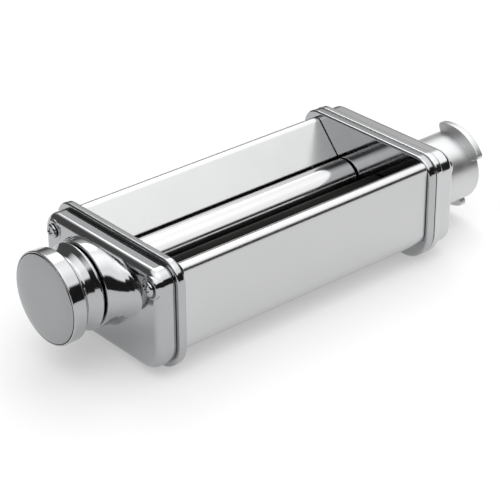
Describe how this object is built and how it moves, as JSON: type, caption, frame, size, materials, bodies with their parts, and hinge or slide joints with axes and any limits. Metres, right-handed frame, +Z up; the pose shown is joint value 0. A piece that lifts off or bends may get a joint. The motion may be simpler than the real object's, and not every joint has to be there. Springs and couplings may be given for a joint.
{
  "type": "pasta roller machine",
  "caption": "Mixer-driven pasta roller: two steel rollers in an open trough between end plates, a pull-and-turn thickness knob at one end and a bayonet drive collar at the other.",
  "frame": {"origin": "bottom centre of the machine's box, on the plane its end plates rest on", "axes": "+X along the rollers from the knob to the drive collar, -Y the front, +Z up"},
  "size_m": [0.242, 0.088, 0.0572],
  "materials": {
    "chrome_casting": "polished chrome plate on castings and turned parts",
    "sheet_steel": "polished bent sheet",
    "roller_steel": "ground and polished rollers",
    "plated_steel": "plain zinc-plated steel of the inner mechanism",
    "bush_bronze": "plain bearing bronze",
    "scraper_nylon": "off-white scraper plastic",
    "spring_steel": "spring wire"
  },
  "bodies": {
    "frame": {"left_end_plate": "chrome_casting", "right_end_plate": "chrome_casting", "left_end_cap": "chrome_casting", "gear_cover": "chrome_casting", "left_cap_screw_front": "chrome_casting", "left_cap_screw_rear": "chrome_casting", "gear_cover_screw_front": "chrome_casting", "gear_cover_screw_rear": "chrome_casting", "front_sheet": "sheet_steel", "rear_sheet": "sheet_steel", "front_upper_tie_rod": "plated_steel", "rear_upper_tie_rod": "plated_steel", "front_lower_tie_rod": "plated_steel", "rear_lower_tie_rod": "plated_steel", "front_tie_rod_nut_left": "plated_steel", "front_tie_rod_nut_right": "plated_steel", "rear_tie_rod_nut_left": "plated_steel", "rear_tie_rod_nut_right": "plated_steel", "guide_pin_left_upper": "plated_steel", "guide_pin_left_lower": "plated_steel", "guide_pin_right_upper": "plated_steel", "guide_pin_right_lower": "plated_steel", "front_bush_left": "bush_bronze", "front_bush_right": "bush_bronze", "drive_bush": "bush_bronze", "knob_shaft_bush": "bush_bronze", "front_scraper_bar": "plated_steel", "front_scraper": "scraper_nylon"},
    "front_roller_set": {"front_roller": "roller_steel", "front_gear": "plated_steel", "drive_coupling": "plated_steel"},
    "carriage": {"carriage_plate_left": "plated_steel", "carriage_plate_right": "plated_steel", "carriage_bar": "plated_steel", "cam_pin": "plated_steel", "rear_bush_left": "bush_bronze", "rear_bush_right": "bush_bronze", "rear_scraper": "scraper_nylon"},
    "rear_roller_set": {"rear_roller": "roller_steel", "rear_gear": "plated_steel"},
    "adjuster": {"knob_shaft": "plated_steel", "scroll_cam": "plated_steel", "knob_washer": "plated_steel", "knob_spring": "spring_steel"},
    "knob_group": {"knob": "chrome_casting", "knob_face": "chrome_casting", "locating_pin": "plated_steel"}
  },
  "joints": [
    {"name": "roller_drive", "type": "hinge", "parent": "frame", "child": "front_roller_set", "pos_m": [0, -0.0112, 0.0262], "axis": [1, 0, 0], "continuous": true},
    {"name": "knob_turn", "type": "hinge", "parent": "frame", "child": "adjuster", "pos_m": [0, 0, 0.0355], "axis": [1, 0, 0], "range_deg": [0, 270]},
    {"name": "carriage_slide", "type": "slide", "parent": "frame", "child": "carriage", "axis": [0, -1, 0], "range_m": [0, 0.0039]},
    {"name": "rear_roller_spin", "type": "hinge", "parent": "carriage", "child": "rear_roller_set", "pos_m": [0, 0.0134, 0.0262], "axis": [1, 0, 0], "continuous": true},
    {"name": "knob_pull", "type": "slide", "parent": "adjuster", "child": "knob_group", "axis": [-1, 0, 0], "range_m": [0, 0.004], "stiffness_N_per_m": 450, "springref_m": -0.004, "deforming": ["knob_spring"]}
  ],
  "couplings": [
    {"joint": "knob_turn", "follows": "carriage_slide", "rad_per_m": 1208.3},
    {"joint": "rear_roller_spin", "follows": "roller_drive", "ratio": -1}
  ]
}
